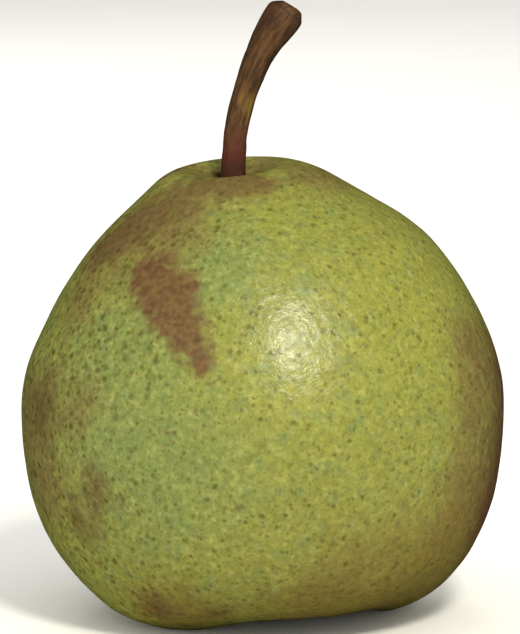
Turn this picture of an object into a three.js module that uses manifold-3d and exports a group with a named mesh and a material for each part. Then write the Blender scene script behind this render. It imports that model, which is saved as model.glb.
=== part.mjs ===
// A round dessert pear, picked with its stalk and standing on the lobes round its eye.
// Millimetres, +Z up. The origin is under the middle of the part, on the surface it stands on;
// +X is to the right and +Y to the back.

import * as THREE from "three";
import { mergeVertices } from "three/addons/utils/BufferGeometryUtils.js";
import Module from "manifold-3d";

// ---- Driving dimensions ----------------------------------------------------------------------

const gap = 0.3; // between pieces that touch

const body = {
  radius: 38, // at the widest
  height: 71.3, // from the base to the crest round the stalk
  widest: 31.5, // height of the widest ring
  segments: 64,
  rings: 51,
};
// The flank's outline, each point as its share of the widest radius and of the height from the
// base to the widest ring, and then from the widest ring to the crest.
const lowerFlank = [[0.68, 0.085], [0.82, 0.26], [0.934, 0.52], [0.985, 0.76]];
const upperFlank = [[0.99, 0.16], [0.93, 0.34], [0.83, 0.53], [0.67, 0.73], [0.43, 0.905]];

// The stalk stands left of the middle and the eye lies right of it. Each shift is greatest at
// the stalk or eye, and has faded to nothing at fadeRadius.
const shift = { stalk: -4.6, eye: 4, fadeRadius: 27 };

const stalk = {
  footRadius: 2,
  waistRadius: 1.85,
  endRadius: 3.05,
  endRounding: 1.2,
  scarDepth: 0.35,
  segments: 24,
  rings: 26,
};
// The middle line of the stalk, up from the floor of its socket and over to the right.
const stalkLine = [
  [0, 0, 0],
  [0, 0, 4],
  [0.6, 0.1, 10.8],
  [2.3, 0.4, 17.3],
  [4.9, 0.8, 23.1],
  [8.6, 1.2, 28.7],
];

// The hollow round the stalk. Its crest is higher on one side and as much lower opposite.
const cavity = { crestRadius: 8.5, crestWidth: 3.8, depth: 1.9 };
const crestTilt = { azimuth: 30, rise: 0.9 };
const socket = { radius: stalk.footRadius + gap, depth: 2.4 };

// The eye is a short tube in the floor of the basin in the pear's base. The sepals stand on that
// floor, round the tube; the stamens and styles stand in the tube.
const eyeTube = { radius: 2.9, depth: 2.2 };
const sepal = {
  count: 5,
  length: [5.3, 6.2], // from shortest to longest
  width: 3.4,
  tipWidth: 0.35,
  thickness: 0.5,
  cup: 0.12, // how strongly the edges stand in towards the middle of the eye
  curl: [0.9, 1.4], // radians turned at the tip
  setback: 1.2, // from the tube's edge
};
const sepalRing = eyeTube.radius + sepal.setback;
const stamen = {
  count: 15,
  length: [2.6, 3.4],
  radius: 0.22,
  headRadius: 0.38,
  tilt: [0.15, 0.45], // radians outwards
};
const stamenRing = { thickness: 0.75, setback: 1.05 };
const stamenRingRadius = eyeTube.radius - stamenRing.setback;
const style = {
  count: 5,
  length: [2.1, 2.6],
  radius: 0.26,
  headRadius: 0.36,
  tilt: 0.12,
  ring: 0.42,
};
const styleBase = { height: 0.7, clearance: 0.65 };
const styleBaseRadius = stamenRingRadius - stamenRing.thickness / 2 - styleBase.clearance;

const basin = { rimRadius: 17, depth: 6, floorMargin: 1.3 };
const sepalReach = Math.hypot(sepalRing + sepal.thickness / 2, sepal.width / 2);
const floorRadius = sepalReach + basin.floorMargin;

// Five low lobes stand round the eye. Each drop is how far a lobe reaches below the furrows
// between them; the three with the full drop carry the pear.
const furrowHeight = 3.5;
const lobes = [
  { azimuth: 8, drop: 3.4 },
  { azimuth: 70, drop: 2.4 },
  { azimuth: 138, drop: 3.4 },
  { azimuth: 219, drop: 3.6 },
  { azimuth: 290, drop: 0.4 },
];
const lobeSpread = 33; // degrees from a lobe's middle to where it has mostly faded
const lobeReach = 14; // height over which the lobes fade into the flank
const flattening = 0.5; // of the skin where it bears on the surface

// Shallow hollows (depth over zero) and swellings (depth under zero) that make the fruit uneven.
const dents = [
  { azimuth: 186, height: 55, reach: 13, depth: 0.8 },
  { azimuth: 4, height: 57, reach: 14, depth: -0.5 },
  { azimuth: 300, height: 60, reach: 12, depth: 0.4 },
  { azimuth: 110, height: 50, reach: 16, depth: 0.8 },
  { azimuth: 60, height: 26, reach: 14, depth: 0.6 },
  { azimuth: 250, height: 20, reach: 14, depth: -0.4 },
];

// ---- The fruit -------------------------------------------------------------------------------

// The fruit's half outline, from the eye round to the stalk, as points of radius and height.
function fleshOutline() {
  const below = body.widest;
  const above = body.height - body.widest;
  const cavityFloor = body.height - cavity.depth;
  const flank = new THREE.CatmullRomCurve3(
    [
      [floorRadius, basin.depth],
      [(floorRadius + basin.rimRadius) / 2, basin.depth * 0.42],
      [basin.rimRadius, 0],
      ...lowerFlank.map(([wide, high]) => [body.radius * wide, below * high]),
      [body.radius, body.widest],
      ...upperFlank.map(([wide, high]) => [body.radius * wide, below + above * high]),
      [cavity.crestRadius + cavity.crestWidth, body.height - cavity.depth * 0.6],
      [cavity.crestRadius, body.height],
      [(cavity.crestRadius + socket.radius) / 2, body.height - cavity.depth * 0.45],
      [socket.radius, cavityFloor],
    ].map(([r, z]) => new THREE.Vector3(r, z, 0)),
    false,
    "centripetal",
  );
  const socketFloor = cavityFloor - socket.depth;
  const tubeTop = basin.depth + eyeTube.depth;
  return [
    new THREE.Vector2(0, tubeTop),
    new THREE.Vector2(eyeTube.radius, tubeTop),
    new THREE.Vector2(eyeTube.radius, basin.depth),
    ...flatPoints(flank.getPoints(body.rings)),
    new THREE.Vector2(socket.radius, socketFloor),
    new THREE.Vector2(0, socketFloor),
  ];
}

// How far a point at this radius and height moves sideways with the stalk or the eye.
function shiftAt(radius, height) {
  const most = height > body.height / 2 ? shift.stalk : shift.eye;
  return most * (1 - THREE.MathUtils.smoothstep(radius, floorRadius, shift.fadeRadius));
}

// How far the crest round the stalk, and the skin either side of it, stands above its even
// height.
function crestRise(radius, azimuth) {
  const { crestRadius } = cavity;
  const share = radius < crestRadius
    ? THREE.MathUtils.smoothstep(radius, socket.radius, crestRadius)
    : 1 - THREE.MathUtils.smoothstep(radius, crestRadius, body.radius * 0.8);
  return share * crestTilt.rise * Math.cos(azimuth - THREE.MathUtils.degToRad(crestTilt.azimuth));
}

// Height of the base's rim above the surface the pear stands on, at an azimuth in degrees.
function rimHeight(azimuth) {
  let height = furrowHeight;
  for (const lobe of lobes) {
    const apart = THREE.MathUtils.euclideanModulo(azimuth - lobe.azimuth + 180, 360) - 180;
    height -= lobe.drop * Math.exp(-((apart / lobeSpread) ** 2));
  }
  return height;
}

// Moves one point of the even fruit to its place on the uneven one.
function shapeFlesh(p) {
  const radius = Math.hypot(p.x, p.y);
  const azimuth = Math.atan2(p.y, p.x);

  let inward = 0;
  for (const dent of dents) {
    const turned = THREE.MathUtils.degToRad(dent.azimuth);
    const middle = new THREE.Vector3(
      body.radius * Math.cos(turned), body.radius * Math.sin(turned), dent.height,
    );
    inward += dent.depth * Math.exp(-((p.distanceTo(middle) / dent.reach) ** 2));
  }

  // The lobes are full at the rim, and fade up the flank and into the basin.
  const inBasin = radius < basin.rimRadius && p.z < body.height / 2;
  const share = inBasin
    ? THREE.MathUtils.smoothstep(radius, floorRadius, basin.rimRadius)
    : 1 - THREE.MathUtils.smoothstep(p.z, 0, lobeReach);
  let raised = p.z + share * rimHeight(THREE.MathUtils.radToDeg(azimuth));
  if (p.z > body.height / 2) raised += crestRise(radius, azimuth);

  return new THREE.Vector3(
    p.x - inward * Math.cos(azimuth) + shiftAt(radius, p.z),
    p.y - inward * Math.sin(azimuth),
    Math.max(raised, flattening),
  );
}

function fleshGeometry() {
  return mapPoints(turned(fleshOutline(), body.segments), shapeFlesh);
}

// ---- The stalk -------------------------------------------------------------------------------

function stalkGeometry() {
  const curve = new THREE.CatmullRomCurve3(stalkLine.map((p) => new THREE.Vector3(...p)));
  const length = curve.getLength();
  const round = stalk.endRounding;
  const side = new THREE.CatmullRomCurve3(
    [
      [stalk.footRadius, 0],
      [stalk.waistRadius, length * 0.25],
      [stalk.waistRadius * 1.03, length * 0.5],
      [stalk.waistRadius * 1.2, length * 0.72],
      [stalk.endRadius * 0.97, length * 0.9],
      [stalk.endRadius, length - round],
    ].map(([r, z]) => new THREE.Vector3(r, z, 0)),
  );
  const rounding = new THREE.EllipseCurve(
    stalk.endRadius - round, length - round, round, round, 0, Math.PI / 2,
  );
  const outline = [
    new THREE.Vector2(0, 0),
    ...flatPoints(side.getSpacedPoints(stalk.rings)),
    ...rounding.getPoints(4).slice(1),
    new THREE.Vector2(0, length - stalk.scarDepth),
  ];
  return bendAlong(turned(outline, stalk.segments), curve);
}

// ---- The eye: dry sepals, stamens and styles -------------------------------------------------

// A dry sepal that stands on its wide foot at the origin, tapers to its tip and curls over
// towards +X.
function sepalGeometry(length, curl) {
  const slab = new THREE.BoxGeometry(sepal.thickness, sepal.width, length, 1, 4, 9);
  slab.translate(0, 0, length / 2);
  return mapPoints(slab, (p) => {
    const along = Math.min(p.z / length, 1);
    const width = THREE.MathUtils.lerp(
      sepal.tipWidth, sepal.width, Math.cos((along * Math.PI) / 2) ** 0.8,
    );
    const across = (p.y / sepal.width) * width;
    const out = p.x * (1 - along / 2) - sepal.cup * across ** 2;
    const turn = curl * along;
    const swing = length / curl;
    return new THREE.Vector3(
      swing * (1 - Math.cos(turn)) + out * Math.cos(turn),
      across,
      swing * Math.sin(turn) - out * Math.sin(turn),
    );
  });
}

// A thread of the eye with a small head, which stands at the origin and leans towards +X.
function threadSolid(length, radius, headRadius, tilt) {
  const curve = new THREE.QuadraticBezierCurve3(
    new THREE.Vector3(0, 0, 0),
    new THREE.Vector3(0, 0, length / 2),
    new THREE.Vector3(length * Math.sin(tilt), 0, length * Math.cos(tilt)),
  );
  const reach = curve.getLength();
  const outline = [
    [0, 0],
    [radius, 0],
    [radius, reach * 0.4],
    [radius * 0.9, reach * 0.78],
    [headRadius, reach * 0.9],
    [0, reach],
  ].map(([r, z]) => new THREE.Vector2(r, z));
  return solidOf(bendAlong(turned(outline, 6), curve));
}

// The stamens stand on one ring of dry tissue.
function stamenGeometry() {
  const round = stamenRing.thickness / 2;
  const section = new THREE.EllipseCurve(stamenRingRadius, round, round, round);
  const threads = ringOf(stamen.count).map((azimuth, i) => {
    const { length, radius, headRadius, tilt } = stamen;
    const thread = threadSolid(between(length, i + 7), radius, headRadius, between(tilt, i));
    return standAt(thread, azimuth, stamenRingRadius, round);
  });
  return geometryOf([solidOf(turned(section.getPoints(8), 30)), ...threads]);
}

// The styles share one short base in the middle of the eye.
function styleGeometry() {
  const base = [
    [0, 0],
    [styleBaseRadius, 0],
    [styleBaseRadius * 0.7, styleBase.height],
    [0, styleBase.height],
  ].map(([r, z]) => new THREE.Vector2(r, z));
  const threads = ringOf(style.count).map((azimuth, i) => {
    const { length, radius, headRadius, tilt } = style;
    const thread = threadSolid(between(length, i), radius, headRadius, tilt);
    return standAt(thread, azimuth, style.ring, styleBase.height / 2);
  });
  return geometryOf([solidOf(turned(base, 16)), ...threads]);
}

// ---- Helpers ---------------------------------------------------------------------------------

// Drops the third coordinate of points drawn with a space curve in its own plane.
function flatPoints(points) {
  return points.map((p) => new THREE.Vector2(p.x, p.y));
}

// Turns a half outline of radius and height round the Z axis.
function turned(outline, segments) {
  return new THREE.LatheGeometry(outline, segments).rotateX(Math.PI / 2);
}

// Moves every point of a geometry, and drops the normals and texture places that go stale.
function mapPoints(geometry, move) {
  geometry.deleteAttribute("normal");
  geometry.deleteAttribute("uv");
  const merged = mergeVertices(geometry, 1e-4);
  const position = merged.getAttribute("position");
  for (let i = 0; i < position.count; i++) {
    const moved = move(new THREE.Vector3().fromBufferAttribute(position, i));
    position.setXYZ(i, moved.x, moved.y, moved.z);
  }
  return merged;
}

// Carries a shape drawn straight up +Z onto a curve, so that its height becomes distance along.
function bendAlong(geometry, curve) {
  const length = curve.getLength();
  return mapPoints(geometry, (p) => {
    const along = THREE.MathUtils.clamp(p.z / length, 0, 1);
    const tangent = curve.getTangentAt(along);
    const side = new THREE.Vector3(0, 1, 0).cross(tangent).normalize();
    const back = tangent.clone().cross(side);
    return curve.getPointAt(along).addScaledVector(side, p.x).addScaledVector(back, p.y);
  });
}

const wasm = await Module();
wasm.setup();

function solidOf(geometry) {
  const closed = mapPoints(geometry, (p) => p);
  return new wasm.Manifold(
    new wasm.Mesh({
      numProp: 3,
      vertProperties: new Float32Array(closed.getAttribute("position").array),
      triVerts: new Uint32Array(closed.index.array),
    }),
  );
}

function standAt(solid, azimuth, radius, height) {
  return solid.translate([radius, 0, height]).rotate([0, 0, THREE.MathUtils.radToDeg(azimuth)]);
}

// The union of these solids as one geometry.
function geometryOf(solids) {
  const mesh = solids.reduce((all, solid) => all.add(solid)).getMesh();
  return new THREE.BufferGeometry()
    .setAttribute("position", new THREE.BufferAttribute(mesh.vertProperties, mesh.numProp))
    .setIndex(new THREE.BufferAttribute(mesh.triVerts, 1));
}

// Evenly spread azimuths, in radians.
function ringOf(count) {
  return Array.from({ length: count }, (_, i) => (i / count) * 2 * Math.PI);
}

// A fixed but uneven number for each i, from the first to the second of a pair.
function between([low, high], i) {
  const share = THREE.MathUtils.euclideanModulo(Math.sin(i * 12.9898) * 43758.5453, 1);
  return THREE.MathUtils.lerp(low, high, share);
}

function named(name, geometry, material) {
  const mesh = new THREE.Mesh(geometry, material);
  mesh.name = name;
  return mesh;
}

// ---- Materials -------------------------------------------------------------------------------

const skin = new THREE.MeshStandardMaterial({ color: 0x9aa04a, roughness: 0.42, metalness: 0 });
const bark = new THREE.MeshStandardMaterial({ color: 0x5a3a24, roughness: 0.7, metalness: 0 });
const dryLeaf = new THREE.MeshStandardMaterial({ color: 0x4a3524, roughness: 0.85, metalness: 0 });

// ---- Assembly --------------------------------------------------------------------------------

const pear = new THREE.Group();
pear.add(named("fruit_body", fleshGeometry(), skin));

const stalkPiece = named("stalk", stalkGeometry(), bark);
stalkPiece.position.set(shift.stalk, 0, body.height - cavity.depth - socket.depth + gap);
pear.add(stalkPiece);

// The eye's pieces are drawn upright and hang from the floor of the basin.
const eye = new THREE.Group();
eye.rotation.x = Math.PI;
eye.position.set(shift.eye, 0, basin.depth - gap);
pear.add(eye);

ringOf(sepal.count).forEach((azimuth, i) => {
  const geometry = sepalGeometry(between(sepal.length, i + 3), between(sepal.curl, i));
  const piece = named(`sepal_${i + 1}`, geometry, dryLeaf);
  piece.rotation.z = azimuth;
  piece.position.set(sepalRing * Math.cos(azimuth), sepalRing * Math.sin(azimuth), 0);
  eye.add(piece);
});

const stamens = named("stamen_ring", stamenGeometry(), dryLeaf);
const styles = named("style_cluster", styleGeometry(), dryLeaf);
for (const piece of [stamens, styles]) {
  piece.position.z = -eyeTube.depth;
  eye.add(piece);
}

// Stand the pear on the origin's plane, with the middle of its outline over the origin.
const box = new THREE.Box3().setFromObject(pear, true);
const middle = box.getCenter(new THREE.Vector3());
pear.position.set(-middle.x, -middle.y, -box.min.z);

export default pear;
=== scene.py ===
"""A round green pear with its stalk, as picked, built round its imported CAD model.

Blender works in metres. Sizes, places and patterns below are in millimetres, in the CAD's own
frame: +Z up, +X to the right and +Y to the back, with the origin under the middle of the pear.
"""

import math

import bmesh
import bpy
import numpy as np
from mathutils import Euler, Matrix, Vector, noise


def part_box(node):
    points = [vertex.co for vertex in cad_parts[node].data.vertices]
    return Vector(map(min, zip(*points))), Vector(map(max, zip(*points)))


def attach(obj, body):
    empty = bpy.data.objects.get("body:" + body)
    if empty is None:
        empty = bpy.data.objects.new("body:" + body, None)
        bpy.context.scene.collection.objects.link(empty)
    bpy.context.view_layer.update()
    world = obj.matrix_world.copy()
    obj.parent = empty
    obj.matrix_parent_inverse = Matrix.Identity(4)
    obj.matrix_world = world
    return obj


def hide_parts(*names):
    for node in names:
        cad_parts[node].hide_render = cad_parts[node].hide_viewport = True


MM = 0.001

# ---- Colours -----------------------------------------------------------------------------------

SCREEN_WHITE = 255
SCREEN_GAMMA = 2.2


def linear(red, green, blue):
    """A colour given as it looks on a screen, 0 to 255 each, as the shader wants it."""
    return tuple((level / SCREEN_WHITE) ** SCREEN_GAMMA for level in (red, green, blue)) + (1,)


GROUND = linear(119, 121, 53)
GREEN = linear(108, 117, 60)
YELLOW = linear(124, 125, 53)
COOL = linear(98, 115, 67)
PALE = linear(142, 141, 79)
# Brown tan, partly painted shade on the left side, the upper left shoulder and round the stalk's
# socket.
TAN_AND_SHADE = linear(106, 91, 52)
# Painted shade: olive-brown, darker towards the bottom of the fruit.
PAINTED_SHADE = linear(110, 94, 44)
STAIN = linear(88, 66, 40)
BLUSH = linear(80, 42, 41)
# Brown scorch, also used as painted shade round the stalk's foot.
SCORCH_AND_SHADE = linear(94, 73, 45)
# Painted shadow: dark brown in the socket round the stalk's foot.
FOOT_SHADOW_COLOUR = linear(50, 32, 18)
RUSSET = linear(99, 69, 41)
RUSSET_DARK = linear(82, 50, 33)
DOT_OLIVE = linear(64, 64, 24)
DOT_BROWN = linear(84, 54, 28)

BARK = linear(85, 58, 30)
BARK_DARK = linear(52, 34, 18)
BARK_FOOT = linear(80, 34, 28)
BARK_OLIVE = linear(124, 98, 36)
BARK_PALE = linear(146, 104, 64)

DRY = linear(86, 62, 42)
DRY_DARK = linear(44, 32, 24)
DRY_PALE = linear(138, 112, 80)

FLOOR_PALE = linear(236, 235, 229)
FLOOR_PALER = linear(240, 239, 233)

# ---- All meshes --------------------------------------------------------------------------------

WELD_DISTANCE = 0.001
QUAD_ANGLE = math.radians(40)  # how far a pair of triangles may be from a flat, square quad
SMOOTHING_LEVELS = 2
SMOOTHING = {"factor": 0.5, "iterations": 4}
NOISE_FALL = 1  # how fast the finer octaves of noise grow weaker
NOISE_STEP = 2  # how much finer each octave is than the one before
NOISE_OCTAVES = 2

# ---- The skin's shape --------------------------------------------------------------------------

SKIN_FACE = 0.55  # side of one face of the skin
SKIN_LIFT = 0.08  # put back all over, as smoothing the CAD's flat faces takes it off them

# Soft hollows and swellings of the flesh, as (width, depth) of each.
UNEVENNESS = ((15, 0.2), (4.5, 0.05))

# The stalk's foot, where the flesh closes round it. Each radius is from the stalk's middle.
STALK_FOOT = (-4.6, 0)
SOCKET_FLOOR = 66.6
SOCKET_CLOSED = 2.03  # the radius that the socket's wall closes to
SOCKET_WALL = 2.3  # the wall's own radius, as in the CAD source
SOCKET_REACH = 2.9  # the radius from which the skin is left as it is
QUIET_RADII = (8, 3)  # the relief fades out from the first radius to the second

# Patches of colour: each is a row of (place, reach) of soft round spots that run together.
PATCHES = {
    "russet": [
        ((-17.2, -21.5, 57.2), 4.2),
        ((-15.5, -25.0, 54.8), 4.8),
        ((-12.0, -26.5, 56.0), 2.8),
        ((-13.2, -28.4, 51.8), 4.2),
        ((-11.2, -31.2, 48.8), 3.4),
        ((-9.2, -33.5, 45.4), 2.4),
    ],
    "scorch_and_shade": [
        ((-24.5, -8.0, 59.5), 6.0),
        ((-21.5, -9.5, 62.5), 6.0),
        ((-16.5, -11.0, 65.8), 6.0),
        ((-10.5, -10.8, 68.6), 5.4),
        ((-4.5, -11.4, 69.4), 4.6),
        ((-0.8, -11.0, 69.6), 3.4),
        ((-17.0, 6.0, 66.5), 6.0),
        # This spot is painted shade in the socket round the stalk's foot.
        ((-4.6, 0.0, 69.0), 5.5),
        ((14.0, 14.0, 66.0), 5.0),
    ],
    # Painted shadow in the socket round the stalk's foot.
    "foot_shadow": [
        ((-6.9, 2.4, 69.0), 1.9),
        ((-4.6, -2.6, 69.0), 1.2),
    ],
    "blush": [
        ((44.0, -5.0, 40.0), 15.0),
        ((44.0, -5.0, 27.0), 15.0),
        ((39.0, -10.0, 19.0), 9.5),
    ],
    "speckled": [
        ((-14.0, -19.0, 61.5), 8.0),
        ((-20.0, -21.0, 54.5), 9.0),
        ((-17.0, -29.0, 46.5), 6.0),
        ((-26.0, -23.0, 43.0), 9.0),
        ((-24.0, 10.0, 56.0), 14.0),
    ],
    "stain": [
        ((-27.0, -23.5, 19.0), 4.5),
        ((-25.5, -27.0, 25.0), 4.5),
        ((-15.8, -25.0, 5.5), 4.0),
        ((-7.0, -27.5, 4.5), 3.5),
        ((-34.0, -16.0, 36.0), 7.0),
        ((12.0, 26.0, 12.0), 8.0),
        ((-20.0, 28.0, 30.0), 7.0),
    ],
    # Brown tan, and in part painted shade: along the left side, on the upper left shoulder and round
    # the stalk's socket.
    "tan_and_shade": [
        ((-36.0, -11.0, 34.0), 9.0),
        ((-33.5, -15.0, 24.0), 9.0),
        ((-27.0, -23.5, 37.0), 5.0),
        ((-29.0, -14.0, 53.0), 7.0),
        ((-20.0, -13.0, 63.0), 8.0),
        ((-13.0, -18.5, 62.5), 7.0),
        ((31.5, -15.0, 45.0), 6.0),
        ((31.5, -19.0, 36.0), 6.0),
        ((30.5, -21.0, 26.0), 6.5),
        ((28.5, -21.5, 17.0), 6.5),
        ((7.0, -6.5, 70.5), 5.5),
        ((11.0, -2.0, 70.0), 5.0),
        ((0.5, 4.0, 70.5), 5.0),
        ((-14.0, 4.0, 69.0), 7.0),
        ((20.0, 24.0, 54.0), 12.0),
    ],
    # Painted shade, darker towards the bottom all round.
    "shade": [
        ((-14.0, -25.5, 4.5), 9.0),
        ((12.0, -27.0, 5.0), 15.0),
        ((24.0, -22.0, 7.0), 15.0),
        ((33.0, -6.0, 12.0), 15.0),
        ((-10.0, 26.0, 6.0), 18.0),
    ],
    "green": [
        ((-22.0, -26.0, 44.0), 14.0),
        ((-16.0, -32.0, 30.0), 15.0),
        ((-6.0, -24.0, 60.0), 9.0),
        ((-30.0, 8.0, 30.0), 22.0),
    ],
    "yellow": [
        ((20.0, -22.0, 52.0), 15.0),
        ((6.0, -34.0, 44.0), 11.0),
        ((10.0, 30.0, 46.0), 18.0),
    ],
}

# ---- The skin's look ---------------------------------------------------------------------------

# Layers of colour, each over the one before. Each comes in where its patch, made ragged by noise
# with lumps this wide, rises from low to high, and it hides what is below it by up to its cover.
GROUND_LAYERS = {
    "green": {"colour": GREEN, "lumps": 6, "ragged": 0.9, "low": 0.15, "high": 0.95, "cover": 1},
    "yellow": {"colour": YELLOW, "lumps": 7, "ragged": 0.9, "low": 0.15, "high": 1, "cover": 1},
}
# Weathered patches, some of which are painted shade: towards the bottom, in the socket round the
# stalk's foot, and in part along the left side and upper left.
WEATHER_AND_SHADE_LAYERS = {
    # Brown tan, partly painted shade.
    "tan_and_shade": {"colour": TAN_AND_SHADE, "lumps": 3, "ragged": 1.1, "low": 0.1, "high": 1.1, "cover": 0.8},
    # Painted shade towards the bottom.
    "shade": {"colour": PAINTED_SHADE, "lumps": 4, "ragged": 0.9, "low": 0.1, "high": 1, "cover": 0.85},
    "stain": {"colour": STAIN, "lumps": 2.6, "ragged": 1.2, "low": 0.2, "high": 1.1, "cover": 0.7},
    "blush": {"colour": BLUSH, "lumps": 1.6, "ragged": 0.6, "low": 0.05, "high": 1.2, "cover": 0.88},
    "scorch_and_shade": {"colour": SCORCH_AND_SHADE, "lumps": 1.8, "ragged": 1.4, "low": 0.1, "high": 1, "cover": 0.85},
    # Painted shadow in the socket round the stalk's foot.
    "foot_shadow": {"colour": FOOT_SHADOW_COLOUR, "lumps": 1, "ragged": 0.6, "low": 0.2, "high": 1, "cover": 0.9},
}

# Clouds of colour all over the skin, between the two sets of layers.
CLOUDS = (
    {"colour": COOL, "width": 2.6, "detail": 4, "low": 0.48, "high": 0.7, "cover": 0.45},
    {"colour": PALE, "width": 0.95, "detail": 4, "low": 0.46, "high": 0.74, "cover": 0.55},
)
CLOUD_SHIFT = Vector((31, 7, 5))  # from one kind to the next, so that their lumps don't line up

# The russet patch lies over the dots, and is rougher than the skin round it.
RUSSET_EDGE = {"lumps": 1.6, "ragged": 1.1, "low": 0.2, "high": 0.9}
RUSSET_GRAIN = {"colour": RUSSET_DARK, "width": 0.9, "detail": 4, "low": 0.35, "high": 0.65}
RUSSET_COVER = 0.85
RUSSET_ROUGHNESS = 0.15  # added to the skin's own

# The dots on the skin, bold and faint. A dot is where the skin cuts a small ball, and the balls
# fill space one to a cell, so their width varies.
BOLD_DOTS = {"cell": 1.6, "radius": 0.68, "strength": 0.75, "rare_colour": DOT_BROWN}
FAINT_DOTS = {"cell": 1.0, "radius": 0.42, "strength": 0.6, "rare_colour": DOT_OLIVE}
DOT_WOBBLE = {"width": 0.6, "detail": 3}  # the noise that makes their outlines uneven
DOT_WOBBLE_REACH = 0.5
DOT_SIZES = (0.75, 1.0)  # the smallest and largest, as a share of the radius
DOT_CORE = 0.18  # the share of a dot's radius that has its full strength
DOT_WEAKEST = 0.5  # the weakest dot's strength, as a share of the strongest one's
DOT_RARE = (0.5, 0.9)  # chance values between which a dot turns to its rare colour
DOT_DEPTH = 0.05  # how far the bold dots stand up

# Dots are larger and darker on the shaded side, which lies this way from the fruit's middle, and
# in the speckled patches. A dot's strength is multiplied by the usual share plus its growth times
# the growth share.
SHADED_WAY = (-0.8, 0.5, -0.3)
SHADED_RANGE = (-0.5, 0.9)  # from the sunny side to the shaded one
FRUIT_RADIUS = 38
ONE_RADIUS_DOWN = (0, 0, -1)
DOT_GROWTH = 0.3
USUAL_SHARE = 0.8
GROWTH_SHARE = 0.6

# Fine light and dark over the whole skin, its roughness and its relief.
FINE_SHADES = (
    {"width": 0.45, "detail": 3, "low": 0.86, "high": 1.14},
    {"width": 1.2, "detail": 3, "low": 0.85, "high": 1.15},
)
SKIN_ROUGHNESS = {"width": 1.3, "detail": 3, "low": 0.27, "high": 0.4}
SKIN_SPECULAR = 0.4
PORES = {"width": 0.4, "detail": 2, "depth": 0.03}
WRINKLES = {"width": 1.5, "detail": 3, "depth": 0.15}

# ---- The stalk ---------------------------------------------------------------------------------

STALK_FACE = 0.16
STALK_LIFT = 0.04  # put back all over, as for the skin
STALK_BASE = 71.0  # height where the stalk comes out of the flesh
STALK_KNOB = 94.0  # height where its knob begins, which keeps the CAD's shape
BASE_FADE = 3  # the relief comes in over this height above the base
KNOB_FADE = 4  # and goes out over this height below the knob
RIDGES = {"width": 1.1, "depth": 0.13}
RIDGE_SQUEEZE = (1, 1, 0.15)  # draws noise out along the stalk into long ridges
STALK_LUMPS = {"width": 2.6, "depth": 0.1}
# The stalk's middle line, up from its foot, as in the CAD source.
STALK_LINE = np.array([
    [0, 0, 0],
    [0, 0, 4],
    [0.6, 0.1, 10.8],
    [2.3, 0.4, 17.3],
    [4.9, 0.8, 23.1],
    [8.6, 1.2, 28.7],
])
LINE_DEGREE = 3  # of the smooth curve through those points
END_DOME = {"rise": 1.0, "fade": 0.9, "radius": 3.0}
BUD_SCAR = {"place": (-2.9, -2.1, 89.2), "reach": 0.9}
BUD_SCAR_RISE = 0.12
OLIVE_SPOT = {"place": (-1.8, -1.6, 80.6), "reach": 2.7}

# Its layers of colour, as for the skin. Fibres and streaks run along it, its left and right sides
# are darker as painted shade, and it is red towards the base and darker where it meets the flesh, as
# a painted shadow.
FIBRE_SQUEEZE = (1, 1, 0.25)  # draws noise out along the stalk into fibres
STREAKS = {"colour": BARK_DARK, "width": 0.7, "detail": 4, "low": 0.36, "high": 0.66, "cover": 0.85}
# Painted shade on the stalk's left and right sides, as seen from the front.
SIDE_SHADE = {"colour": BARK_DARK, "lumps": 0.9, "ragged": 0.8, "low": 1.1, "high": 2.2, "cover": 0.6}
RED_FOOT_TOP = 81  # height from which it grows redder down to its base
RED_FOOT = {"colour": BARK_FOOT, "lumps": 1.5, "ragged": 0.9, "low": 0.1, "high": 0.95, "cover": 0.8}
# A painted shadow where the stalk meets the flesh.
CONTACT_SHADE = {
    "colour": BARK_DARK,
    "lumps": 1.5,
    "ragged": 1,
    "low": STALK_BASE + 2,
    "high": STALK_BASE,
    "cover": 0.6,
}
OLIVE = {"colour": BARK_OLIVE, "lumps": 0.9, "ragged": 1.6, "low": 0.3, "high": 1.2, "cover": 0.75}
SCAR = {"colour": BARK_PALE, "lumps": 0.8, "ragged": 0.8, "low": 0.45, "high": 0.85, "cover": 0.7}
# A dark ring round the cut end comes in over one range of the end's field and goes out over the
# other.
RING_EDGE = {"width": 0.7, "strength": 0.3}
RING_IN = (0.05, 0.3)
RING_OUT = (0.75, 0.4)
RING_COVER = 0.6
BARK_ROUGHNESS = {"width": 0.7, "detail": 3, "low": 0.55, "high": 0.8}
BARK_SPECULAR = 0.3
BARK_GRAIN = {"width": 0.3, "detail": 4, "depth": 0.1}
BARK_LUMPS = {"width": 1.1, "detail": 2, "depth": 0.12}

# ---- The eye in the base -----------------------------------------------------------------------

SEPALS = ["sepal_1", "sepal_2", "sepal_3", "sepal_4", "sepal_5"]
THREADS = ["stamen_ring", "style_cluster"]
SEPAL_LEVELS = 3
THREAD_FACE = 0.09
CRINKLE = ((1.3, 0.14), (0.4, 0.05))  # (width, depth) of each
CRINKLE_SINK = 0.5  # how far it lies below the CAD's surface, as a share of its depth
THREAD_CRINKLE = 1 / 3  # its depth on the threads, as a share of that on the sepals

DRY_SQUEEZE = (1, 1, 0.2)
DRY_PATCHES = {"colour": DRY_DARK, "width": 1.1, "detail": 4, "low": 0.4, "high": 0.65, "cover": 1}
DRY_FIBRES = {"colour": DRY_PALE, "width": 0.3, "detail": 3, "low": 0.55, "high": 0.72, "cover": 0.6}
DRY_ROUGHNESS = {"width": 0.5, "detail": 2, "low": 0.7, "high": 0.95}
DRY_GRAIN = {"width": 0.22, "detail": 4, "depth": 0.12}

# ---- The stage ---------------------------------------------------------------------------------

VIEW_TARGET = Vector((-0.47, 0.32, 47.03))
VIEW_ELEVATION = 9  # degrees
VIEW_DISTANCE = 800
LENS = 288.9
SENSOR = 36

FLOOR_SIDE = 6000
FLOOR_CLOUDS = {"width": 60, "detail": 3}
FLOOR_ROUGHNESS = 0.9

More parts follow.
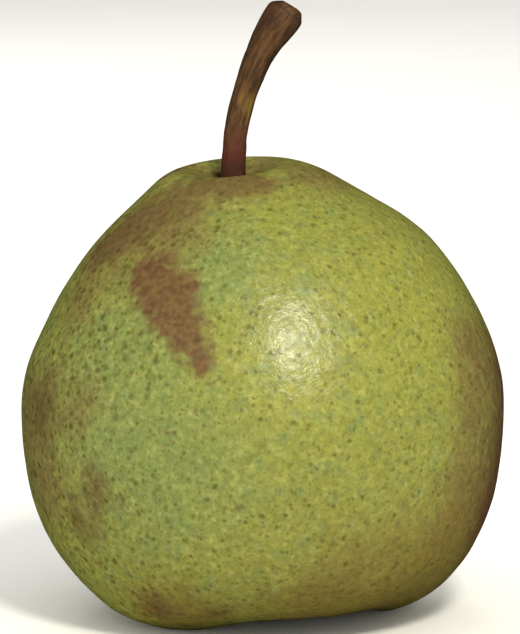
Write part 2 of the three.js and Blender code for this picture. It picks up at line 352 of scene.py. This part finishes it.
# Square lamps round the pear, which all face its middle. Only the key lamp is seen in the gloss.
LAMP_DISTANCE = 900
LAMPS = {
    "key": {"way": (0.24, -0.68, 0.685), "size": 155, "power": 6.8, "colour": (1, 0.97, 0.84)},
    "back": {"way": (-0.2, 0.85, 0.48), "size": 400, "power": 1.6, "colour": (1, 1, 1)},
    "fill": {"way": (-0.95, -0.25, 0.08), "size": 400, "power": 2.7, "colour": (1, 1, 1)},
    "low": {"way": (0.1, -1, 0.07), "size": 400, "power": 2.0, "colour": (1, 1, 1)},
}
GLOSSY_LAMP = "key"
WORLD_STRENGTH = 0.88
WORLD_COLOUR = (1.0, 0.985, 0.99)


# ---- Meshes ------------------------------------------------------------------------------------


def quad_copy(node, name):
    """A new object on a CAD node's surface, with its triangles paired where they make quads."""
    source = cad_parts[node].data
    mesh = bpy.data.meshes.new(name)
    mesh.from_pydata([v.co for v in source.vertices], [], [p.vertices for p in source.polygons])
    shape = bmesh.new()
    shape.from_mesh(mesh)
    bmesh.ops.remove_doubles(shape, verts=shape.verts, dist=WELD_DISTANCE * MM)
    bmesh.ops.join_triangles(
        shape,
        faces=shape.faces,
        angle_face_threshold=QUAD_ANGLE,
        angle_shape_threshold=QUAD_ANGLE,
    )
    shape.to_mesh(mesh)
    shape.free()
    obj = bpy.data.objects.new(name, mesh)
    bpy.context.scene.collection.objects.link(obj)
    return obj


def modify(obj, kind, **settings):
    """Adds a modifier and makes its result the object's own mesh."""
    modifier = obj.modifiers.new(kind, kind)
    for name, value in settings.items():
        setattr(modifier, name, value)
    depsgraph = bpy.context.evaluated_depsgraph_get()
    result = bpy.data.meshes.new_from_object(obj.evaluated_get(depsgraph))
    obj.modifiers.clear()
    obj.data = result


def even_faces(obj, side):
    """Gives a closed mesh small even faces on its own smoothed surface."""
    modify(obj, "SUBSURF", levels=SMOOTHING_LEVELS)
    smooth = bpy.data.objects.new("smooth", obj.data.copy())
    bpy.context.scene.collection.objects.link(smooth)
    modify(obj, "REMESH", mode="VOXEL", voxel_size=side * MM)
    modify(obj, "SMOOTH", **SMOOTHING)
    modify(obj, "SHRINKWRAP", target=smooth, wrap_method="NEAREST_SURFACEPOINT")
    bpy.data.objects.remove(smooth)


def points_of(mesh):
    """A mesh's points in millimetres, and its normals."""
    points = np.zeros(len(mesh.vertices) * 3, np.float32)
    mesh.vertices.foreach_get("co", points)
    normals = np.zeros(len(mesh.vertices) * 3, np.float32)
    mesh.vertex_normals.foreach_get("vector", normals)
    return points.reshape(-1, 3).astype(float) / MM, normals.reshape(-1, 3).astype(float)


def set_points(mesh, points):
    """Moves a mesh's points to places in millimetres, and shades it smooth."""
    mesh.vertices.foreach_set("co", (points * MM).astype(np.float32).ravel())
    mesh.shade_smooth()
    mesh.update()


def keep(mesh, name, values):
    """Stores a number or a vector for each point of a mesh, for its material to read."""
    kind, field = ("FLOAT", "value") if values.ndim == 1 else ("FLOAT_VECTOR", "vector")
    attribute = mesh.attributes.new(name, kind, "POINT")
    attribute.data.foreach_set(field, values.astype(np.float32).ravel())


def rough_field(points, width):
    """Smooth noise from about -1 to 1 at each point, with lumps of about this width."""
    settings = (NOISE_FALL, NOISE_STEP, NOISE_OCTAVES)
    return np.array([noise.fractal(Vector(point / width), *settings) for point in points])


def step(values, low, high):
    """0 at low and before it, 1 at high and past it, with a smooth rise between them."""
    share = np.clip((values - low) / (high - low), 0, 1)
    return share * share * (3 - 2 * share)


def spot_field(points, place, reach):
    """1 at a place, fading to 0 some way outside its reach."""
    distance = np.linalg.norm(points - np.array(place), axis=1)
    return np.exp(-((distance / reach) ** 2))


def patch_field(points, spots):
    """How far each point lies in a patch of spots: 1 in the middle of it, 0 outside."""
    clear = np.ones(len(points))
    for place, reach in spots:
        clear *= 1 - spot_field(points, place, reach)
    return 1 - clear


def inside_box(points, node):
    """The points, with any that lie outside a CAD node's box brought onto its sides."""
    low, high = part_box(node)
    return np.clip(points, np.array(low) / MM, np.array(high) / MM)


# ---- Materials ---------------------------------------------------------------------------------


class Shader:
    """A material's nodes, with a short call for each kind used here."""

    NOISE_MIDDLE = 0.5
    NOISE_RANGE = {"From Min": 0.3, "From Max": 0.7}  # where nearly all values of noise lie
    RAGGED_DETAIL = 4

    # A Mix node has sockets for every type of data. These are its share and its colours.
    MIX_SHARE = 0
    MIX_FIRST = 6
    MIX_SECOND = 7
    MIX_RESULT = 2

    def __init__(self, name, roughness=0.5, specular=0.5):
        self.material = bpy.data.materials.new(name)
        self.material.use_nodes = True
        self.tree = self.material.node_tree
        self.surface = self.tree.nodes["Principled BSDF"]
        self.surface.inputs["Roughness"].default_value = roughness
        self.surface.inputs["Specular IOR Level"].default_value = specular

    def feed(self, socket, value):
        """Links a socket to another node's output, or sets its value."""
        if isinstance(value, bpy.types.NodeSocket):
            self.tree.links.new(value, socket)
        else:
            socket.default_value = value

    def node(self, kind, inputs, **settings):
        """A new node, with its settings and with its sockets fed by name or number."""
        made = self.tree.nodes.new(kind)
        for name, value in settings.items():
            setattr(made, name, value)
        for name, value in inputs.items():
            self.feed(made.inputs[name], value)
        return made

    def finish(self, **inputs):
        """Feeds the surface's sockets, named with _ for a space, and gives the material."""
        for name, value in inputs.items():
            self.feed(self.surface.inputs[name.replace("_", " ")], value)
        return self.material

    # Places, numbers and vectors.

    def place(self):
        """The place on the object, in millimetres."""
        place = self.node("ShaderNodeTexCoord", {}).outputs["Object"]
        return self.vector("SCALE", place, Scale=1 / MM)

    def kept(self, name, output="Fac"):
        """What the mesh keeps under this name: a number, or with output "Vector" a vector."""
        return self.node("ShaderNodeAttribute", {}, attribute_name=name).outputs[output]

    def vector(self, operation, first, *others, output="Vector", **inputs):
        values = {**dict(enumerate((first, *others))), **inputs}
        made = self.node("ShaderNodeVectorMath", values, operation=operation)
        return made.outputs[output]

    def maths(self, operation, first, second=0.0):
        made = self.node("ShaderNodeMath", {0: first, 1: second}, operation=operation)
        return made.outputs["Value"]

    def noise(self, place, width, detail, output="Fac"):
        """Noise round 0.5, with lumps of about this width."""
        inputs = {"Vector": place, "Scale": 1 / width, "Detail": detail}
        return self.node("ShaderNodeTexNoise", inputs).outputs[output]

    def step(self, value, low, high):
        """0 at low and before it, 1 at high and past it, with a smooth rise between them."""
        inputs = {"Value": value, "From Min": low, "From Max": high}
        made = self.node("ShaderNodeMapRange", inputs, interpolation_type="SMOOTHSTEP")
        return made.outputs["Result"]

    def spread(self, value, low, high):
        """Noise or a chance value turned into a number from low to high."""
        inputs = {"Value": value, **self.NOISE_RANGE, "To Min": low, "To Max": high}
        return self.node("ShaderNodeMapRange", inputs).outputs["Result"]

    def varied(self, place, width, detail, low, high):
        """A number that noise carries from low to high."""
        return self.spread(self.noise(place, width, detail), low, high)

    def ragged(self, value, place, width, strength):
        """A soft field made uneven by noise of this width."""
        lumps = self.noise(place, width, self.RAGGED_DETAIL)
        lumps = self.maths("SUBTRACT", lumps, self.NOISE_MIDDLE)
        return self.maths("ADD", value, self.maths("MULTIPLY", lumps, strength))

    # Colours.

    def mix(self, share, first, second, blend_type="MIX"):
        """One colour turned into another by a share."""
        inputs = {self.MIX_SHARE: share, self.MIX_FIRST: first, self.MIX_SECOND: second}
        made = self.node("ShaderNodeMix", inputs, data_type="RGBA", blend_type=blend_type)
        return made.outputs[self.MIX_RESULT]

    def layer(self, under, over, share, cover):
        """Lays a colour over another, which it hides by this share of its cover."""
        return self.mix(self.maths("MULTIPLY", share, cover), under, over)

    def ragged_share(self, field, place, lumps, ragged, low, high):
        """How far a layer has come in where a field, made ragged, rises from low to high."""
        return self.step(self.ragged(field, place, lumps, ragged), low, high)

    def ragged_layer(self, under, field, place, colour, cover, **edge):
        """Lays a colour over another where a field, made ragged, rises from low to high."""
        return self.layer(under, colour, self.ragged_share(field, place, **edge), cover)

    def noise_layer(self, under, place, colour, width, detail, low, high, cover=1):
        """Lays a colour over another where noise rises from low to high."""
        share = self.step(self.noise(place, width, detail), low, high)
        return self.layer(under, colour, share, cover)

    # Relief.

    def bump(self, height, depth, normal=None):
        """Height from 0 to 1 as a relief of this depth in millimetres."""
        inputs = {"Height": height, "Distance": depth * MM, "Strength": 1.0}
        if normal is not None:
            inputs["Normal"] = normal
        return self.node("ShaderNodeBump", inputs).outputs["Normal"]

    def noise_bump(self, place, width, detail, depth, normal=None):
        """A relief of noise, over another relief where there is one."""
        return self.bump(self.noise(place, width, detail), depth, normal)


def dots(shader, place, kind, growth):
    """How strongly each point lies in a dot of this kind, and the colour of its dot."""
    wobble = shader.noise(place, **DOT_WOBBLE, output="Color")
    wobble = shader.vector("SUBTRACT", wobble, [shader.NOISE_MIDDLE] * 3)
    place = shader.vector("ADD", place, shader.vector("SCALE", wobble, Scale=DOT_WOBBLE_REACH))
    cells = shader.node("ShaderNodeTexVoronoi", {"Vector": place, "Scale": 1 / kind["cell"]}).outputs
    chance = shader.node("ShaderNodeSeparateColor", {"Color": cells["Color"]}).outputs

    size = shader.maths("ADD", shader.spread(chance["Red"], *DOT_SIZES), growth)
    reach = kind["radius"] / kind["cell"]
    dot = shader.step(shader.maths("DIVIDE", cells["Distance"], size), reach, reach * DOT_CORE)

    weakest = kind["strength"] * DOT_WEAKEST
    strength = shader.spread(chance["Green"], weakest, kind["strength"])
    grown = shader.maths("MULTIPLY", growth, GROWTH_SHARE)
    darker = shader.maths("ADD", grown, USUAL_SHARE)
    strength = shader.maths("MULTIPLY", strength, darker)

    colour = shader.mix(shader.step(chance["Blue"], *DOT_RARE), DOT_OLIVE, kind["rare_colour"])
    return shader.maths("MULTIPLY", dot, strength), colour


def skin_material():
    """Waxy skin: cloudy ground colours, then weathered patches and painted shade, dots and russet.
    """
    skin = Shader("pear_skin", specular=SKIN_SPECULAR)
    place = skin.place()

    colour = GROUND
    for name, look in GROUND_LAYERS.items():
        colour = skin.ragged_layer(colour, skin.kept(name), place, **look)
    for number, look in enumerate(CLOUDS):
        shifted = skin.vector("ADD", place, CLOUD_SHIFT * number)
        colour = skin.noise_layer(colour, shifted, **look)
    # Weathered patches, and painted shade towards the bottom, round the stalk's foot and in part on
    # the left side.
    for name, look in WEATHER_AND_SHADE_LAYERS.items():
        colour = skin.ragged_layer(colour, skin.kept(name), place, **look)

    # The dots. The bold ones come last, so that theirs is the relief below.
    from_middle = skin.vector("MULTIPLY_ADD", place, [1 / FRUIT_RADIUS] * 3, ONE_RADIUS_DOWN)
    facing = skin.vector("DOT_PRODUCT", from_middle, SHADED_WAY, output="Value")
    shaded = skin.maths("MULTIPLY", skin.step(facing, *SHADED_RANGE), DOT_GROWTH)
    speckled = skin.maths("MULTIPLY", skin.kept("speckled"), DOT_GROWTH)
    growth = skin.maths("ADD", shaded, speckled)
    for kind in (FAINT_DOTS, BOLD_DOTS):
        dot, dot_colour = dots(skin, place, kind, growth)
        colour = skin.mix(dot, colour, dot_colour)

    russet = skin.ragged_share(skin.kept("russet"), place, **RUSSET_EDGE)
    russet_colour = skin.noise_layer(RUSSET, place, **RUSSET_GRAIN)
    colour = skin.layer(colour, russet_colour, russet, RUSSET_COVER)

    # Fine light and dark over it all.
    small, large = (skin.varied(place, **shade) for shade in FINE_SHADES)
    fine = skin.maths("MULTIPLY", small, large)
    grey = skin.node("ShaderNodeCombineColor", {"Red": fine, "Green": fine, "Blue": fine})
    colour = skin.mix(1.0, colour, grey.outputs["Color"], "MULTIPLY")

    rougher = skin.maths("MULTIPLY", russet, RUSSET_ROUGHNESS)
    roughness = skin.maths("ADD", skin.varied(place, **SKIN_ROUGHNESS), rougher)
    pores = skin.noise_bump(place, **PORES)
    wrinkles = skin.noise_bump(place, **WRINKLES, normal=pores)
    relief = skin.bump(dot, DOT_DEPTH, wrinkles)
    return skin.finish(Base_Color=colour, Roughness=roughness, Normal=relief)


def bark_material():
    """Smooth brown bark: streaks along the stalk, a red foot, an olive band and scars, with painted
    shade on its sides and at its foot.
    """
    bark = Shader("stalk_bark", specular=BARK_SPECULAR)
    place = bark.kept("straight", "Vector")
    straight = bark.node("ShaderNodeSeparateXYZ", {"Vector": place}).outputs
    fibres = bark.vector("MULTIPLY", place, FIBRE_SQUEEZE)

    colour = bark.noise_layer(BARK, fibres, **STREAKS)
    # Painted shade on the left and right sides.
    side = bark.maths("ABSOLUTE", straight["X"])
    colour = bark.ragged_layer(colour, side, fibres, **SIDE_SHADE)
    foot = bark.step(straight["Z"], RED_FOOT_TOP, STALK_BASE)
    colour = bark.ragged_layer(colour, foot, fibres, **RED_FOOT)
    # A painted shadow where the stalk meets the flesh.
    colour = bark.ragged_layer(colour, straight["Z"], place, **CONTACT_SHADE)
    colour = bark.ragged_layer(colour, bark.kept("olive"), fibres, **OLIVE)
    colour = bark.ragged_layer(colour, bark.kept("scar"), place, **SCAR)
    end = bark.ragged(bark.kept("end"), place, **RING_EDGE)
    ring = bark.maths("MULTIPLY", bark.step(end, *RING_IN), bark.step(end, *RING_OUT))
    colour = bark.layer(colour, BARK_DARK, ring, RING_COVER)

    roughness = bark.varied(place, **BARK_ROUGHNESS)
    grain = bark.noise_bump(fibres, **BARK_GRAIN)
    lumps = bark.noise_bump(place, **BARK_LUMPS, normal=grain)
    return bark.finish(Base_Color=colour, Roughness=roughness, Normal=lumps)


def dry_material():
    """Dry brown tissue, for the sepals and the threads in the eye."""
    dry = Shader("dry_eye")
    place = dry.place()
    fibres = dry.vector("MULTIPLY", place, DRY_SQUEEZE)
    colour = dry.noise_layer(DRY, place, **DRY_PATCHES)
    colour = dry.noise_layer(colour, fibres, **DRY_FIBRES)
    roughness = dry.varied(place, **DRY_ROUGHNESS)
    grain = dry.noise_bump(fibres, **DRY_GRAIN)
    return dry.finish(Base_Color=colour, Roughness=roughness, Normal=grain)


def floor_material():
    """A matt, pale floor with faint clouds."""
    floor = Shader("pale_floor", roughness=FLOOR_ROUGHNESS)
    clouds = floor.noise(floor.place(), **FLOOR_CLOUDS)
    return floor.finish(Base_Color=floor.mix(clouds, FLOOR_PALE, FLOOR_PALER))


# ---- Pieces ------------------------------------------------------------------------------------


def piece(obj, node, material):
    """Hands a finished object over as the piece that stands for one CAD node."""
    obj.data.materials.clear()
    obj.data.materials.append(material)
    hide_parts(node)
    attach(obj, "root")


def make_skin():
    """The flesh and its skin, closed round the stalk."""
    obj = quad_copy("fruit_body", "pear_flesh")
    even_faces(obj, SKIN_FACE)
    mesh = obj.data
    points, normals = points_of(mesh)

    # The flesh closes round the foot of the stalk.
    away = points[:, :2] - STALK_FOOT
    radius = np.linalg.norm(away, axis=1)
    above_floor = points[:, 2] > SOCKET_FLOOR
    share = 1 - step(radius, SOCKET_WALL, SOCKET_REACH)
    closed = radius - share * (SOCKET_WALL - SOCKET_CLOSED)
    moved = above_floor & (radius > SOCKET_CLOSED) & (radius < SOCKET_REACH)
    away *= np.where(moved, closed / radius, 1)[:, None]
    points[:, :2] = STALK_FOOT + away

    for name, spots in PATCHES.items():
        keep(mesh, name, patch_field(points, spots))

    # The relief, which leaves the flesh round the stalk's foot alone.
    relief = np.full(len(points), SKIN_LIFT)
    for width, depth in UNEVENNESS:
        relief += depth * rough_field(points, width)
    relief *= 1 - step(radius, *QUIET_RADII) * above_floor
    points += normals * relief[:, None]
    set_points(mesh, inside_box(points, "fruit_body"))
    piece(obj, "fruit_body", skin_material())


def make_stalk():
    """The curved stalk, with its knob's cut end."""
    obj = quad_copy("stalk", "stalk_wood")
    even_faces(obj, STALK_FACE)
    mesh = obj.data
    points, normals = points_of(mesh)

    # The stalk as if its middle line were straight, so that its grain follows it.
    height = points[:, 2]
    foot = points[height < height.min() + STALK_LINE[1, 2]].mean(axis=0)
    foot[2] = height.min()
    curves = [np.polyfit(STALK_LINE[:, 2], STALK_LINE[:, axis], LINE_DEGREE) for axis in (0, 1)]
    middle = np.stack([np.polyval(curve, height - foot[2]) for curve in curves], axis=1) + foot[:2]
    straight = np.column_stack([points[:, :2] - middle, height])
    keep(mesh, "straight", straight)

    # Its cut end is a low dome.
    slopes = [np.polyval(np.polyder(curve), STALK_LINE[-1, 2]) for curve in curves]
    end_way = np.array([*slopes, 1]) / np.linalg.norm([*slopes, 1])
    from_end = points - foot - STALK_LINE[-1]
    along = from_end @ end_way
    across = np.linalg.norm(from_end - along[:, None] * end_way, axis=1)
    end = step(along, -END_DOME["fade"], 0)
    dome = END_DOME["rise"] * end * np.clip(1 - (across / END_DOME["radius"]) ** 2, 0, 1)
    keep(mesh, "end", end)

    # Ridges and lumps, and a scar where a bud was.
    relief = RIDGES["depth"] * rough_field(straight * RIDGE_SQUEEZE, RIDGES["width"])
    relief += STALK_LUMPS["depth"] * rough_field(straight, STALK_LUMPS["width"])
    relief *= step(height, STALK_BASE, STALK_BASE + BASE_FADE)
    relief *= step(height, STALK_KNOB, STALK_KNOB - KNOB_FADE)
    scar = spot_field(points, **BUD_SCAR)
    relief += STALK_LIFT + BUD_SCAR_RISE * scar
    keep(mesh, "scar", scar)
    keep(mesh, "olive", spot_field(points, **OLIVE_SPOT))

    points += dome[:, None] * end_way
    points += normals * relief[:, None]
    set_points(mesh, inside_box(points, "stalk"))
    piece(obj, "stalk", bark_material())


def make_eye():
    """The dry sepals, stamens and styles in the base, all of one material."""
    material = dry_material()
    for node in SEPALS + THREADS:
        obj = quad_copy(node, "dry_" + node)
        if node in THREADS:
            even_faces(obj, THREAD_FACE)
            share = THREAD_CRINKLE
        else:
            modify(obj, "SUBSURF", levels=SEPAL_LEVELS)
            share = 1
        points, normals = points_of(obj.data)
        for width, depth in CRINKLE:
            sunk = rough_field(points, width) - CRINKLE_SINK
            points += normals * (share * depth * sunk)[:, None]
        set_points(obj.data, inside_box(points, node))
        piece(obj, node, material)


# ---- Floor, lights and camera ------------------------------------------------------------------


def make_floor():
    """A wide square floor at height 0, which the gloss doesn't show."""
    half = FLOOR_SIDE * MM / 2
    mesh = bpy.data.meshes.new("floor")
    mesh.from_pydata(
        [(-half, -half, 0), (half, -half, 0), (half, half, 0), (-half, half, 0)],
        [],
        [(0, 1, 2, 3)],
    )
    mesh.materials.append(floor_material())
    floor = bpy.data.objects.new("floor", mesh)
    bpy.context.scene.collection.objects.link(floor)
    floor.visible_glossy = False


def make_lamp(name, way, size, power, colour):
    """A square lamp that faces the middle of the pear from this way."""
    way = Vector(way).normalized()
    data = bpy.data.lights.new(name, "AREA")
    data.size = size * MM
    data.energy = power
    data.color = colour
    lamp = bpy.data.objects.new(name, data)
    lamp.location = (VIEW_TARGET + way * LAMP_DISTANCE) * MM
    lamp.rotation_euler = (-way).to_track_quat("-Z", "Y").to_euler()
    lamp.visible_glossy = name == GLOSSY_LAMP
    bpy.context.scene.collection.objects.link(lamp)


def make_world():
    """Even light from all round, which the gloss doesn't show."""
    world = bpy.data.worlds.new("soft_studio")
    world.use_nodes = True
    background = world.node_tree.nodes["Background"]
    background.inputs["Color"].default_value = (*WORLD_COLOUR, 1)
    background.inputs["Strength"].default_value = WORLD_STRENGTH
    world.cycles_visibility.glossy = False
    bpy.context.scene.world = world


def make_camera():
    """A camera in front of the pear, a little above its middle, that faces the view's target."""
    data = bpy.data.cameras.new("camera")
    data.lens = LENS
    data.sensor_width = SENSOR
    camera = bpy.data.objects.new("camera", data)
    turn = Euler((math.radians(90 - VIEW_ELEVATION), 0, 0))
    back = Vector((0, 0, VIEW_DISTANCE))
    back.rotate(turn)
    camera.location = (VIEW_TARGET + back) * MM
    camera.rotation_euler = turn
    bpy.context.scene.collection.objects.link(camera)
    bpy.context.scene.camera = camera


# ---- The scene ---------------------------------------------------------------------------------

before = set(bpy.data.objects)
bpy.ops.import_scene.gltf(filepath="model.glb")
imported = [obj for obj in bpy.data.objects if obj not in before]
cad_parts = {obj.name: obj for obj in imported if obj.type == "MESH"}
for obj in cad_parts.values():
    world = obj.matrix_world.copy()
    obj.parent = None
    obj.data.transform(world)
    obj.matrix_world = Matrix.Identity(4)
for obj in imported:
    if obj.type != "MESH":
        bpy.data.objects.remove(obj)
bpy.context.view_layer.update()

make_skin()
make_stalk()
make_eye()
make_floor()
for lamp_name, lamp_settings in LAMPS.items():
    make_lamp(lamp_name, **lamp_settings)
make_world()
make_camera()
bpy.context.scene.view_settings.view_transform = "Standard"
